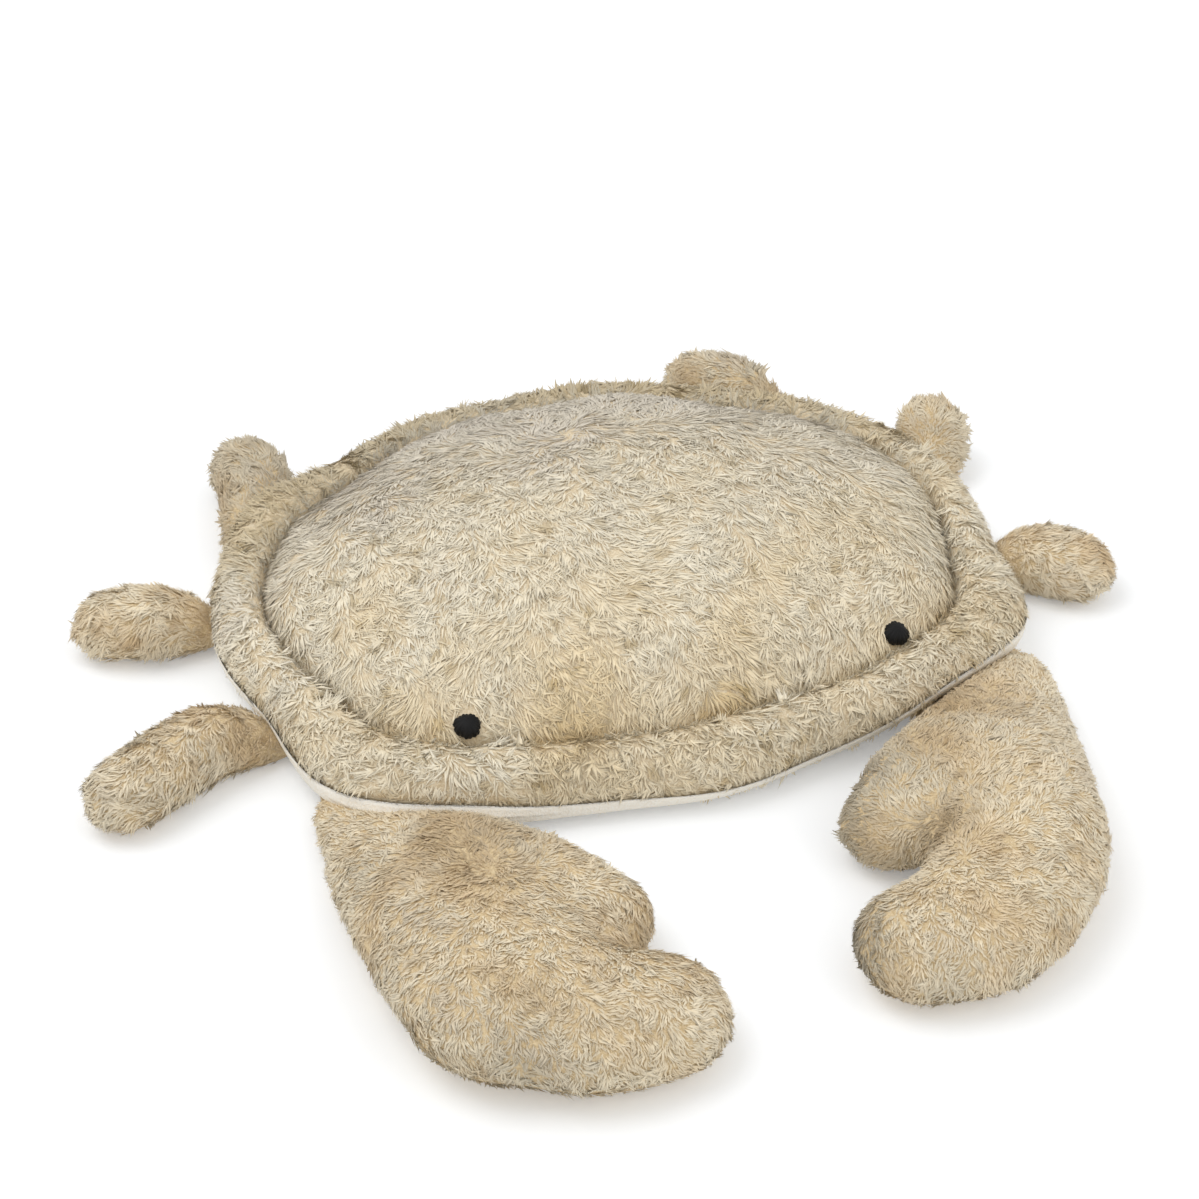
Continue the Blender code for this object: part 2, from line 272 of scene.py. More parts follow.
# Noise to a metre and its detail: strands along the fibres, and blotches and grain of the backing
STRAND_NOISE, STRAND_DETAIL = 500, 2.0
BLOTCH_NOISE, BLOTCH_DETAIL = 260, 4
GRAIN_NOISE = 1400


def new_group(name, inputs, outputs):
    """An empty shader node group with its sockets, and its two end nodes."""
    group = bpy.data.node_groups.new(name, "ShaderNodeTree")
    for label, kind, value in inputs:
        socket = group.interface.new_socket(name=label, in_out="INPUT", socket_type=kind)
        socket.default_value = value
    for label, kind in outputs:
        group.interface.new_socket(name=label, in_out="OUTPUT", socket_type=kind)
    return group, group.nodes.new("NodeGroupInput"), group.nodes.new("NodeGroupOutput")


def add_node(tree, kind, sockets=None, **values):
    """A node of a kind. Sockets gives its input sockets' values by name, and values gives its
    properties, or its input sockets by number as in_0."""
    node = tree.nodes.new(kind)
    for label, value in (sockets or {}).items():
        node.inputs[label].default_value = value
    for name, value in values.items():
        if name.startswith("in_"):
            node.inputs[int(name[3:])].default_value = value
        else:
            setattr(node, name, value)
    return node


def rgb(red, green, blue):
    """A colour as it is seen on a screen, from 0 to 255, made linear."""
    seen = np.array((red, green, blue)) / 255
    return (*np.where(seen <= 0.04045, seen / 12.92, ((seen + 0.055) / 1.055) ** 2.4), 1.0)


def pile_colour_group():
    """The colour of a plush fibre. It runs from the root colour to the tip colour along the fibre, goes
    to tan where the piece's patch is above 0 and to grey where it is below, and each lock is a little
    lighter or darker than the next. Patch and tone also carry painted light and shade: lighter tuft
    tops, tan and darker crevices, a darker quilting seam, and a greyer and darker back of the carapace."""
    group, start, end = new_group(
        "pile_colour",
        [
            ("Root", "NodeSocketColor", (0.3, 0.2, 0.1, 1)), ("Tip", "NodeSocketColor", (0.7, 0.6, 0.5, 1)),
            ("Tan", "NodeSocketColor", (0.5, 0.35, 0.2, 1)), ("Grey", "NodeSocketColor", (0.5, 0.45, 0.4, 1)),
            ("Strands", "NodeSocketFloat", 0.5),
        ],
        [("Color", "NodeSocketColor")],
    )
    link = group.links.new
    along = add_node(group, "ShaderNodeAttribute", attribute_name="along")
    tone = add_node(group, "ShaderNodeAttribute", attribute_name="tone")
    patch = add_node(group, "ShaderNodeAttribute", attribute_name="patch")
    rise = add_node(group, "ShaderNodeMapRange", in_1=TURN_START, in_2=TURN_END)
    rise.interpolation_type = "SMOOTHSTEP"
    link(along.outputs["Fac"], rise.inputs[0])
    strand = add_node(group, "ShaderNodeMix", data_type="RGBA")
    link(rise.outputs[0], strand.inputs[0])
    link(start.outputs["Root"], strand.inputs[6])
    link(start.outputs["Tip"], strand.inputs[7])
    to_tan = add_node(group, "ShaderNodeMix", data_type="RGBA")
    link(patch.outputs["Fac"], to_tan.inputs[0])
    link(strand.outputs[2], to_tan.inputs[6])
    link(start.outputs["Tan"], to_tan.inputs[7])
    below = add_node(group, "ShaderNodeMath", operation="MULTIPLY", in_1=-1.0)
    link(patch.outputs["Fac"], below.inputs[0])
    to_grey = add_node(group, "ShaderNodeMix", data_type="RGBA")
    link(below.outputs[0], to_grey.inputs[0])
    link(to_tan.outputs[2], to_grey.inputs[6])
    link(start.outputs["Grey"], to_grey.inputs[7])
    streaks = add_node(group, "ShaderNodeMapRange", in_1=0.3, in_2=0.7, in_3=STREAK_DARK, in_4=STREAK_LIGHT)
    link(start.outputs["Strands"], streaks.inputs[0])
    lighter = add_node(group, "ShaderNodeMath", operation="ADD")
    link(tone.outputs["Fac"], lighter.inputs[0])
    link(streaks.outputs[0], lighter.inputs[1])
    scaled = add_node(group, "ShaderNodeVectorMath", operation="SCALE")
    link(to_grey.outputs[2], scaled.inputs[0])
    link(lighter.outputs[0], scaled.inputs["Scale"])
    link(scaled.outputs[0], end.inputs["Color"])
    return group


def backing_colour_group():
    """The colour and relief of the knitted cloth that fur grows from: two tones, mixed by soft blotches
    and fine grain, and the grain for its height."""
    group, start, end = new_group(
        "backing_colour",
        [("Dark", "NodeSocketColor", (0.3, 0.2, 0.1, 1)), ("Light", "NodeSocketColor", (0.5, 0.4, 0.3, 1))],
        [("Color", "NodeSocketColor"), ("Height", "NodeSocketFloat")],
    )
    link = group.links.new
    place = add_node(group, "ShaderNodeTexCoord")
    blotches = add_node(group, "ShaderNodeTexNoise", {"Scale": BLOTCH_NOISE, "Detail": BLOTCH_DETAIL})
    grain = add_node(group, "ShaderNodeTexNoise", {"Scale": GRAIN_NOISE})
    mixed = add_node(group, "ShaderNodeMix", data_type="RGBA")
    link(place.outputs["Object"], blotches.inputs["Vector"])
    link(place.outputs["Object"], grain.inputs["Vector"])
    both = add_node(group, "ShaderNodeMath", operation="MULTIPLY_ADD", in_1=0.5)
    speckle = add_node(group, "ShaderNodeMapRange", in_1=0.35, in_2=0.65, in_3=-0.1, in_4=0.6)
    link(grain.outputs["Fac"], speckle.inputs[0])
    link(blotches.outputs["Fac"], both.inputs[0])
    link(speckle.outputs[0], both.inputs[2])
    link(both.outputs[0], mixed.inputs[0])
    link(start.outputs["Dark"], mixed.inputs[6])
    link(start.outputs["Light"], mixed.inputs[7])
    link(mixed.outputs[2], end.inputs["Color"])
    link(grain.outputs["Fac"], end.inputs["Height"])
    return group


PILE_COLOUR = pile_colour_group()
BACKING_COLOUR = backing_colour_group()


def plain_material(name, roughness, sheen):
    """A material with its own plain values on the shader's sockets."""
    material = bpy.data.materials.new(name)
    material.use_nodes = True
    shader = material.node_tree.nodes["Principled BSDF"]
    shader.inputs["Roughness"].default_value = roughness
    shader.inputs["Specular IOR Level"].default_value = CLOTH_SPECULAR
    shader.inputs["Sheen Weight"].default_value = sheen
    shader.inputs["Sheen Roughness"].default_value = SHEEN_ROUGHNESS
    return material, shader


def add_relief(tree, shader, height, strength):
    """A bump on a shader, from an output that gives its height."""
    relief = add_node(tree, "ShaderNodeBump", {"Strength": strength, "Distance": BUMP_DEPTH})
    tree.links.new(height, relief.inputs["Height"])
    tree.links.new(relief.outputs["Normal"], shader.inputs["Normal"])


def pile_material(name, root, tip, tan, grey):
    """Plush fibres in four colours."""
    material, shader = plain_material(name, PILE_ROUGHNESS, PILE_SHEEN)
    shader.inputs["Sheen Tint"].default_value = rgb(*SHEEN_TINT)
    tree = material.node_tree
    colour = add_node(tree, "ShaderNodeGroup", node_tree=PILE_COLOUR)
    for label, value in (("Root", root), ("Tip", tip), ("Tan", tan), ("Grey", grey)):
        colour.inputs[label].default_value = value
    place = add_node(tree, "ShaderNodeTexCoord")
    strands = add_node(tree, "ShaderNodeTexNoise", {"Scale": STRAND_NOISE, "Detail": STRAND_DETAIL})
    tree.links.new(place.outputs["Object"], strands.inputs["Vector"])
    tree.links.new(strands.outputs[0], colour.inputs["Strands"])
    tree.links.new(colour.outputs["Color"], shader.inputs["Base Color"])
    add_relief(tree, shader, strands.outputs[0], PILE_BUMP)
    return material


def backing_material(name, dark, light, bump=BACKING_BUMP):
    """Knitted cloth in two tones, such as the cloth under the fur."""
    material, shader = plain_material(name, BACKING_ROUGHNESS, 0.0)
    tree = material.node_tree
    colour = add_node(tree, "ShaderNodeGroup", node_tree=BACKING_COLOUR)
    colour.inputs["Dark"].default_value = dark
    colour.inputs["Light"].default_value = light
    tree.links.new(colour.outputs["Color"], shader.inputs["Base Color"])
    add_relief(tree, shader, colour.outputs["Height"], bump)
    return material


# Its darker tone is partly painted shade: it shows between the fibres, where shade falls
SHELL_BACKING = backing_material("plush_backing_beige", rgb(205, 184, 148), rgb(242, 228, 200))
carapace.data.materials.append(SHELL_BACKING)
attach(carapace, "root")
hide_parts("carapace")


# The carapace's fur: long curly plush, knitted into the cloth in small tufts, combed down from the
# crown of the dome and brushed into swirls. It is longer on the dome and curlier on the rim.

def scatter(points, normals, triangles, weight, count, dice):
    """Places spread evenly over a surface, weighted by a value per triangle. The running sum of the
    weighted areas is cut into equal parts with one place in each."""
    a, b, c = (points[triangles[:, k]] for k in range(3))
    area = np.linalg.norm(np.cross(b - a, c - a), axis=1) * weight
    running = np.cumsum(area) / area.sum()
    chosen = np.searchsorted(running, (np.arange(count) + dice.random(count)) / count)
    chosen = triangles[np.minimum(chosen, len(triangles) - 1)]
    share = np.sqrt(dice.random(count))[:, None]
    other = dice.random(count)[:, None]
    shares = (1 - share, share * (1 - other), share * other)
    place = sum(points[chosen[:, k]] * shares[k] for k in range(3))
    return place, unit(sum(normals[chosen[:, k]] * shares[k] for k in range(3)))


# The width, length and lean of fibres. Each pair is the least and the most, the first two as shares
FIBRE_WIDTH = 0.00039
FIBRE_WIDTHS = (0.75, 1.3)
FIBRE_LENGTHS = (0.75, 1.18)
FIBRE_LEANS = (0.04, 0.8)
FIBRE_ARCH = 0.00014
# How near the knee is to the root and to the tip, as shares
KNEE = (0.55, 0.45)
PILE_SUNK = 0.0006
# Under-fur: its share of the fibres, its width and lean beside the others', how far it begins above
# the cloth, and how much darker it is
UNDER_FUR = 0.36
UNDER_WIDTH = 1.6
UNDER_LEAN = 0.5
UNDER_RAISED = 0.0001
UNDER_TONE = 0.01
# How much length, lean and curl change from place to place, over which size, and from fibre to fibre
LENGTH_WANDER, LENGTH_WANDER_SIZE = 0.18, 0.007
LEAN_WANDER, LEAN_WANDER_SIZE, LEAN_STRAY = 0.6, 0.006, 0.025
CURL_WANDER, CURL_WANDER_SIZE, CURL_STRAY = 1.6, 0.005, 0.14
TIP_ASIDE = 0.6
KNEE_ASIDE = 0.25
TIP_STRAY = 0.0004
# Tufts: their size, how far they draw the tips together, how long they are on top, and their painted light:
# lighter tops, with painted shade between them
TUFT = 0.0050
TUFT_WAVES = 16
TUFT_GATHER = 0.75
TUFT_LENGTH = 0.16
TUFT_LIGHT_AND_SHADE = 0.048
FIBRE_TONE = 0.012
# How far the soft normals lean off the cloth's own, at the root and knee, and at the tip
SOFT_LEAN = 0.12
SOFT_TIP_LEAN = 0.2
# How much of the soft normal the undersides of fibres take on
UNDERSIDE_SOFTNESS = 0.8
# Crevices: how many tufts apart, how deep a hollow begins one, and how tan and dark their painted shade is
CREVICE_SPACING = 1.6
CREVICE_START = 0.8
CREVICE_SHADE_TAN = 0.5
CREVICE_SHADE_DARK = 0.26
FUR_OVER_FLOOR = 0.0003


def tufts(points, size, seed):
    """A smooth field of hills a size apart, one to a tuft: its height, of about -1 to 1, and its slope,
    which points to the nearest hill. It is a sum of waves along directions of their own."""
    dice = np.random.default_rng(seed)
    ways = unit(dice.normal(size=(TUFT_WAVES, 3)))
    waves = ways * 2 * np.pi / size * dice.uniform(0.7, 1.3, TUFT_WAVES)[:, None]
    phase = points @ waves.T + dice.uniform(0, 2 * np.pi, TUFT_WAVES)
    spread = (TUFT_WAVES / 2) ** 0.5
    return np.sin(phase).sum(1) / spread / WAVE_PEAK, np.cos(phase) @ ways / spread


def grow(place, up, comb, dice, length, lean, curl, seed):
    """Fibres as four points each, root, two sides of the knee and tip, with their soft normals, their
    tone and how far each lies in a crevice, for painted shade there. A fibre runs along the comb, stands
    off the cloth by its lean and bends aside by its curl. Lean, curl and length change smoothly from
    tuft to tuft, and tips are pulled together into tufts, the more the curlier they are. The tone has
    painted light on the top of each tuft and painted shade between tufts, and a little at random. About
    a third is under-fur, which is wider, flatter and a little darker. The normals are nearly the cloth's
    own, which is how soft fur takes the light."""
    fibres = len(place)
    hill, slope = tufts(place, TUFT, seed + 3)
    under = dice.random(fibres) < UNDER_FUR
    forward = unit(comb - up * (comb * up).sum(1, keepdims=True))
    aside = np.cross(up, forward)
    uneven = 1 + LENGTH_WANDER * wander(place, LENGTH_WANDER_SIZE, seed) + TUFT_LENGTH * hill
    length = length * uneven * dice.uniform(*FIBRE_LENGTHS, fibres)
    lean = lean * (1 + LEAN_WANDER * wander(place, LEAN_WANDER_SIZE, seed + 1))
    lean = lean + LEAN_STRAY * dice.normal(size=fibres)
    lean = np.clip(np.where(under, UNDER_LEAN * lean, lean), *FIBRE_LEANS)[:, None]
    gather = slope * TUFT * np.where(under, 0.0, TUFT_GATHER * curl)[:, None]
    gather -= up * (gather * up).sum(1, keepdims=True)
    curl = CURL_WANDER * curl * wander(place, CURL_WANDER_SIZE, seed + 2)
    curl = (curl + CURL_STRAY * dice.normal(size=fibres))[:, None]
    root = place - up * np.where(under, -UNDER_RAISED, PILE_SUNK)[:, None]
    line = forward * np.sqrt(1 - lean ** 2) + up * lean + aside * curl * TIP_ASIDE
    tip = root + length[:, None] * line + gather + TIP_STRAY * dice.normal(size=(fibres, 3))
    knee = root * KNEE[0] + tip * KNEE[1] - aside * length[:, None] * curl * KNEE_ASIDE + up * FIBRE_ARCH
    along = unit(tip - root)
    across = unit(np.cross(up, along))
    width = FIBRE_WIDTH * dice.uniform(*FIBRE_WIDTHS, fibres) * np.where(under, UNDER_WIDTH, 1.0)
    half = width[:, None] / 2
    points = np.stack((root, knee - across * half, knee + across * half, tip), 1)
    normals = np.stack((
        up - SOFT_LEAN * along, up - SOFT_LEAN * across, up + SOFT_LEAN * across, up + SOFT_TIP_LEAN * along,
    ), 1)
    # Painted light on tuft tops and painted shade between tufts, the under-fur a little darker, and a little
    # at random
    tone = TUFT_LIGHT_AND_SHADE * hill - UNDER_TONE * under + FIBRE_TONE * dice.normal(size=fibres)
    # How deep the fibre's middle lies in a crevice between tufts, where shade is painted
    halfway = place + forward * length[:, None] * 0.5
    hollow = -tufts(halfway, TUFT * CREVICE_SPACING, seed + 4)[0]
    crevice_shade = np.clip(hollow - CREVICE_START, 0, 0.5) * 2
    return points, unit(normals), tone, crevice_shade


FIBRE_FACES = np.array([(0, 1, 2), (3, 2, 1), (0, 3, 1), (0, 2, 3)])


def pile_piece(name, points, normals, tone, patch, material):
    """One object of fur. Each fibre is a closed solid of four faces: the two upper ones take the soft
    normals and the two lower ones their own, with sharp edges in between. It has a cell of its own in
    the bake map."""
    points[..., 2] = np.maximum(points[..., 2], FUR_OVER_FLOOR)
    fibres = len(points)
    triangles = (np.arange(fibres)[:, None, None] * 4 + FIBRE_FACES).reshape(-1, 3)
    made = build_mesh(name, points.reshape(-1, 3), triangles)
    mesh = made.data
    left = unit(np.cross(points[:, 3] - points[:, 0], points[:, 1] - points[:, 0]))
    right = unit(np.cross(points[:, 2] - points[:, 0], points[:, 3] - points[:, 0]))
    over = UNDERSIDE_SOFTNESS * normals.mean(1)
    left, right = unit(left + over), unit(right + over)
    under = unit(left + right)
    corners = np.stack((
        *(normals[:, k] for k in (0, 1, 2, 3, 2, 1)), under, under, left, under, right, under,
    ), 1)
    soft = mesh.attributes.new("custom_normal", "FLOAT_VECTOR", "CORNER")
    soft.data.foreach_set("vector", corners.astype(np.float32).ravel())
    ends = np.zeros(len(mesh.edges) * 2, np.int32)
    mesh.edges.foreach_get("vertices", ends)
    sharp = mesh.attributes.new("sharp_edge", "BOOLEAN", "EDGE")
    sharp.data.foreach_set("value", (ends % 4).reshape(-1, 2).sum(1) != 3)
    for label, values in (
        ("along", np.tile((0.0, 0.5, 0.5, 1.0), fibres)),
        ("tone", np.repeat(tone, 4)),
        ("patch", np.repeat(patch, 4)),
    ):
        mesh.attributes.new(label, "FLOAT", "POINT").data.foreach_set("value", values.astype(np.float32))
    cells = int(np.ceil(np.sqrt(fibres)))
    corner = np.stack((np.arange(fibres) % cells, np.arange(fibres) // cells), 1)[:, None]
    inside = np.array(((0.5, 0.06), (0.1, 0.5), (0.9, 0.5), (0.5, 0.94)))
    layout = ((corner + inside) / cells).reshape(-1, 2)[triangles.ravel()]
    mesh.uv_layers.new(name="OFBake").data.foreach_set("uv", layout.astype(np.float32).ravel())
    mesh.materials.append(material)
    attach(made, "root")


def vertex_normals(points, triangles):
    """Normals at the points: the sum of the cross products of the triangles that meet there."""
    a, b, c = (points[triangles[:, k]] for k in range(3))
    faces = np.cross(b - a, c - a)
    total = np.zeros_like(points)
    for k in range(3):
        np.add.at(total, triangles[:, k], faces)
    return unit(total)


# Root, tip, tan and grey. The grey is also the painted shade over the back of the dome, and the tan also that
# in crevices
SHELL_PILE = pile_material(
    "plush_pile_beige", rgb(235, 222, 194), rgb(241, 232, 210), rgb(234, 209, 160), rgb(218, 209, 196),
)
# Side, angle and how far inside the quilting seam
EYES = (("left", -48.45, 0.0047), ("right", 47.3, 0.0040))
EYE_UPWARDS = 2.2
EYE_STEP = 0.002
# The room without fur in front of an eye: its radius, and how far it reaches in and out
EYE_CLEAR = 0.0043
EYE_CLEAR_REACH = (-0.008, 0.02)


def fur_surface(angle, inset):
    """A point of the furry surface."""
    angle = np.array(angle, float)
    return np.array((*plan_points(angle, inset), float(top_height(angle, inset))))


def eye_seat(angle, inside):
    """The middle of an eye on the furry surface, and the direction it faces: out of the surface there,
    and a little more upwards."""
    inset = rim_width(angle) + inside
    turn = np.degrees(EYE_STEP / edge_reach(angle))
    across = fur_surface(angle + turn, inset) - fur_surface(angle - turn, inset)
    inwards = fur_surface(angle, inset + EYE_STEP) - fur_surface(angle, inset - EYE_STEP)
    return fur_surface(angle, inset), unit(unit(np.cross(across, inwards)) + (0, 0, EYE_UPWARDS))


EYE_SEATS = {side: eye_seat(angle, inside) for side, angle, inside in EYES}


def clear_of_eyes(points):
    """Which fibres keep off both eyes: none of their points lies in front of an eye's round."""
    keep = np.ones(len(points), bool)
    for middle, outward in EYE_SEATS.values():
        off = points - middle
        height = off @ outward
        aside = np.linalg.norm(off - height[..., None] * outward, axis=-1)
        near = (height > EYE_CLEAR_REACH[0]) & (height < EYE_CLEAR_REACH[1])
        keep &= ~((aside < EYE_CLEAR) & near).any(1)
    return keep


# Stains of the shell's fur, and one painted light: x, y, reach, towards tan, and darker
SHELL_STAINS_AND_LIGHT = (
    (-0.049, -0.086, 0.016, 0.40, 0.07), (0.008, -0.087, 0.006, 0.60, 0.14),
    (-0.039, -0.079, 0.030, 0.30, 0.00), (-0.109, -0.058, 0.014, 0.30, 0.06),
    (0.1255, -0.072, 0.012, 0.20, 0.12), (0.105, -0.073, 0.014, 0.40, 0.04),
    # Painted light on the left of the rim: lighter, and greyer instead of tan
    (-0.139, 0.021, 0.026, -0.20, -0.05),
)
# The shade in the quilting seam, how it comes and goes along the seam, and its half width
SEAM_SHADE = 0.15
SEAM_SHADE_MEAN, SEAM_SHADE_WANDER, SEAM_SHADE_RANGE = 0.7, 0.5, (0.1, 1.5)
SEAM_SHADE_WIDTH = 0.0024
# How far from the middle the face and the back begin, and over which distance they set in
FACE_START, FACE_FADE = 0.03, 0.09
BACK_START, BACK_FADE = 0.01, 0.08
RIM_FADE = 0.004
FACE_TAN = 0.37
FACE_RIM_LESS = 0.6
# Painted shade: how grey the back of the dome is
BACK_PAINTED_SHADE_GREY = 0.75
BACK_RIM_TAN = 0.55
TAN_ALL_OVER = 0.06
MOTTLE = 0.28
PATCH_RANGE = (-0.9, 0.85)
# Painted shade: how much darker the back is, and the back rim on top of that
BACK_PAINTED_SHADE = 0.12
BACK_RIM_PAINTED_SHADE = 0.17
# The comb's parting at the crown, and how round it is
PARTING = (0.0, 0.045, 0.0)
PARTING_ROUND = 0.012
FRONT_START, FRONT_FADE = 0.085, 0.07
FRONT_COMB = (0.0, -1.0, -0.2)
OUTWARD_COMB, OUTWARD_LESS_IN_FRONT = 0.85, 0.4
EDGE_COMB_WIDTH = 0.005
# Swirls: size, seed and share of a radian
SHELL_SWIRLS = ((0.06, 31, 0.8), (0.02, 32, 0.7), (0.006, 33, 0.8))


def stains_and_painted_light(place, stains):
    """How far marks turn the fur to tan, and how much darker they make it: round smooth bumps. Most marks are
    stains; some are painted light and shade.
    """
    x, y, reach, tan, darker = np.transpose(stains)
    share = np.exp(-((place[:, :1] - x) ** 2 + (place[:, 1:2] - y) ** 2) / reach ** 2)
    return share @ tan, share @ darker


def carapace_patch(place, off_seam):
    """How tan the fur is, and how much lighter. Tan near the face, between the eyes and on the back rim,
    with stains, and painted light on the left of the rim. Painted shade makes the back of the dome grey
    and darker, the back rim darker, and the fur darker down in the quilting seam."""
    soft = wander(place, 0.045, 21) * 0.5 + wander(place, 0.016, 22) * 0.25
    face = np.clip((-place[:, 1] - FACE_START) / FACE_FADE, 0, 1)
    back = np.clip((place[:, 1] - BACK_START) / BACK_FADE, 0, 1)
    rim = np.clip(-off_seam / RIM_FADE, 0, 1)
    tan, dark = stains_and_painted_light(place, SHELL_STAINS_AND_LIGHT)
    # Grey over the back of the dome is painted shade
    patch = FACE_TAN * face * (1 - FACE_RIM_LESS * rim) - BACK_PAINTED_SHADE_GREY * back * (1 - rim)
    patch = patch + BACK_RIM_TAN * back * rim + MOTTLE * soft + TAN_ALL_OVER + tan
    come_and_go = np.clip(SEAM_SHADE_MEAN + SEAM_SHADE_WANDER * wander(place, 0.02, 23), *SEAM_SHADE_RANGE)
    in_seam = np.exp(-((off_seam / SEAM_SHADE_WIDTH) ** 2)) * come_and_go
    # Painted shade: darker in the quilting seam, over the back and on the back rim; dark is from stains
    lighter = -dark - SEAM_SHADE * in_seam - BACK_PAINTED_SHADE * back - BACK_RIM_PAINTED_SHADE * back * rim
    return np.clip(patch, *PATCH_RANGE), lighter


def swirled(comb, normal, turn):
    """A comb laid flat on the cloth, and turned by angles in radians."""
    flat = unit(comb - normal * (comb * normal).sum(1, keepdims=True))
    return flat * np.cos(turn)[:, None] + np.cross(normal, flat) * np.sin(turn)[:, None]


def carapace_comb(place, normal, swirl):
    """Down the slope in front and at the back, parted at the crown of the dome, and turned by swirls."""
    outward = place - PARTING
    outward[:, 2] = 0
    outward /= np.linalg.norm(outward, axis=1, keepdims=True) + PARTING_ROUND
    front = np.clip((FRONT_START - place[:, 1:2]) / FRONT_FADE, 0, 1)
    over_edge = np.clip(1 - edge_distance(place) / EDGE_COMB_WIDTH, 0, 1)[:, None]
    comb = outward * (OUTWARD_COMB - OUTWARD_LESS_IN_FRONT * front) + front * np.array(FRONT_COMB)
    comb = comb + over_edge * np.array((0.0, 0.0, -1.0))
    turn = swirl * sum(wander(place, size, seed) * share for size, seed, share in SHELL_SWIRLS)
    return swirled(comb, normal, turn)


def edge_distance(place):
    """How far a place lies inside the carapace's edge, seen from above."""
    return edge_reach(angle_of(place)) - np.hypot(place[:, 0], place[:, 1])


def seam_distance(place):
    """How far a place is from the quilting seam: less than nothing on the rim, more on the dome."""
    return edge_distance(place) - rim_width(angle_of(place))


# How much of the belly's border shows under the rim, round the face: angle and share
BELLY_SHOWS = (
    (-75, 0.4), (-62, 0.9), (-51, 1.5), (-40, 1.2), (-28, 0.6), (-14, 0.35),
    (2, 0.1), (40, 0.1), (58, 0.7), (75, 0.4),
)


def belly_shows(angle):
    """How much of the belly's border shows under the rim at an angle."""
    return np.interp((angle + 180) % 360 - 180, *np.transpose(BELLY_SHOWS))


# Fur is thicker at the edge, and shorter at the quilting seam and at the edge
EDGE_MORE, EDGE_MORE_WIDTH = 1.5, 0.004
SEAM_FUR_SHORTER, SEAM_FUR_WIDTH = 0.3, 0.006
EDGE_FUR_SHORTER, EDGE_FUR_WIDTH = 0.6, 0.007
EDGE_FUR_LEAST = 0.65
upper_normals = vertex_normals(cloth_points, np.concatenate((cloth_upper, edge_strip, cloth_lower)))
centres = cloth_points[cloth_upper].mean(1)
on_rim = seam_distance(centres) < 0
dice = np.random.default_rng(5)

# Name, where it grows, fibres, length, lean, curl and swirl
for name, triangles, fibres, length, lean, curl, swirl in (
    ("dome_pile_left", cloth_upper[~on_rim & (centres[:, 0] < 0)], 41000, 0.0074, 0.11, 0.22, 1.0),
    ("dome_pile_right", cloth_upper[~on_rim & (centres[:, 0] >= 0)], 41000, 0.0074, 0.11, 0.22, 1.0),
    ("rim_pile", np.concatenate((cloth_upper[on_rim], edge_strip)), 41000, 0.0058, 0.22, 0.50, 1.4),
):
    at_edge = np.clip(1 - edge_distance(cloth_points[triangles].mean(1)) / EDGE_MORE_WIDTH, 0, 1)
    place, normal = scatter(cloth_points, upper_normals, triangles, 1 + EDGE_MORE * at_edge, fibres, dice)
    comb = carapace_comb(place, normal, swirl)
    off_seam = seam_distance(place)
    from_seam = np.clip(np.abs(off_seam) / SEAM_FUR_WIDTH, 0, 1)
    from_edge = np.clip(edge_distance(place) / EDGE_FUR_WIDTH, 0, 1)
    shown = np.clip(belly_shows(angle_of(place)), EDGE_FUR_LEAST, 1)
    shorter = 1 - SEAM_FUR_SHORTER + SEAM_FUR_SHORTER * from_seam
    shorter = shorter * (1 - EDGE_FUR_SHORTER * (1 - from_edge) * shown)
    points, normals, tone, crevice_shade = grow(place, normal, comb, dice, length * shorter, lean, curl, 50)
    patch, lighter = carapace_patch(place, off_seam)
    # Crevices get painted shade: tan and darker
    patch = patch + CREVICE_SHADE_TAN * crevice_shade
    tone = tone + lighter - CREVICE_SHADE_DARK * crevice_shade
    keep = clear_of_eyes(points)
    pile_piece(name, points[keep], normals[keep], tone[keep], patch[keep], SHELL_PILE)


# The belly: one panel of smooth short-pile plush, off-white, turned up all round and sewn to the
# carapace at the edge seam. Only its turned-up border shows.

BELLY_RINGS = 12
BELLY_INNER_RINGS = (0.3, 0.6)
BELLY_GRAIN = 0.8
# The border's bulge: how far out, over which share of the border, and how blunt
BELLY_BULGE = 0.0075
BULGE_END = 0.36
BULGE_BLUNTNESS = 0.8
# How much less it bulges over a limb, and how much wider than the rim's lift that place is
LIMB_BULGE_LESS = 0.2
LIMB_BULGE_WIDER = 1.3
share = 1 - np.cos(np.linspace(0, np.pi / 2, BELLY_RINGS))
turn_width = BELLY_TURN * (EDGE_HEIGHT + edge_lift(angles)) / EDGE_HEIGHT
inner = turn_width + (edge_reach(angles) - turn_width) * np.array(BELLY_INNER_RINGS)[:, None]
belly_insets = np.concatenate((turn_width * share[:, None], inner))
belly_around = np.broadcast_to(angles, belly_insets.shape)
over_limbs = sum(
    np.exp(-((((angles - middle + 180) % 360 - 180) / (spread * LIMB_BULGE_WIDER)) ** 4))
    for middle, _, spread in LIFTS
)
bulge_share = np.clip(belly_insets / (BULGE_END * turn_width), 0, 1)
bulge = BELLY_BULGE * np.sin(np.pi * bulge_share) ** BULGE_BLUNTNESS
bulge = bulge * np.clip(1 - LIMB_BULGE_LESS * over_limbs, 0, 1) * belly_shows(angles)


def belly_sheet(height):
    """One side of the belly panel as rings of points and a middle point. Its border bulges outwards
    by half a sine wave, most where most of it shows, and less over the limbs."""
    plan = plan_points(belly_around, belly_insets - bulge)
    rings = np.concatenate((plan, height(belly_around, belly_insets)[..., None]), -1)
    middle = np.array([[0, 0, float(height(np.array(0.0), edge_reach(0.0)))]])
    return np.concatenate((rings.reshape(-1, 3), middle))


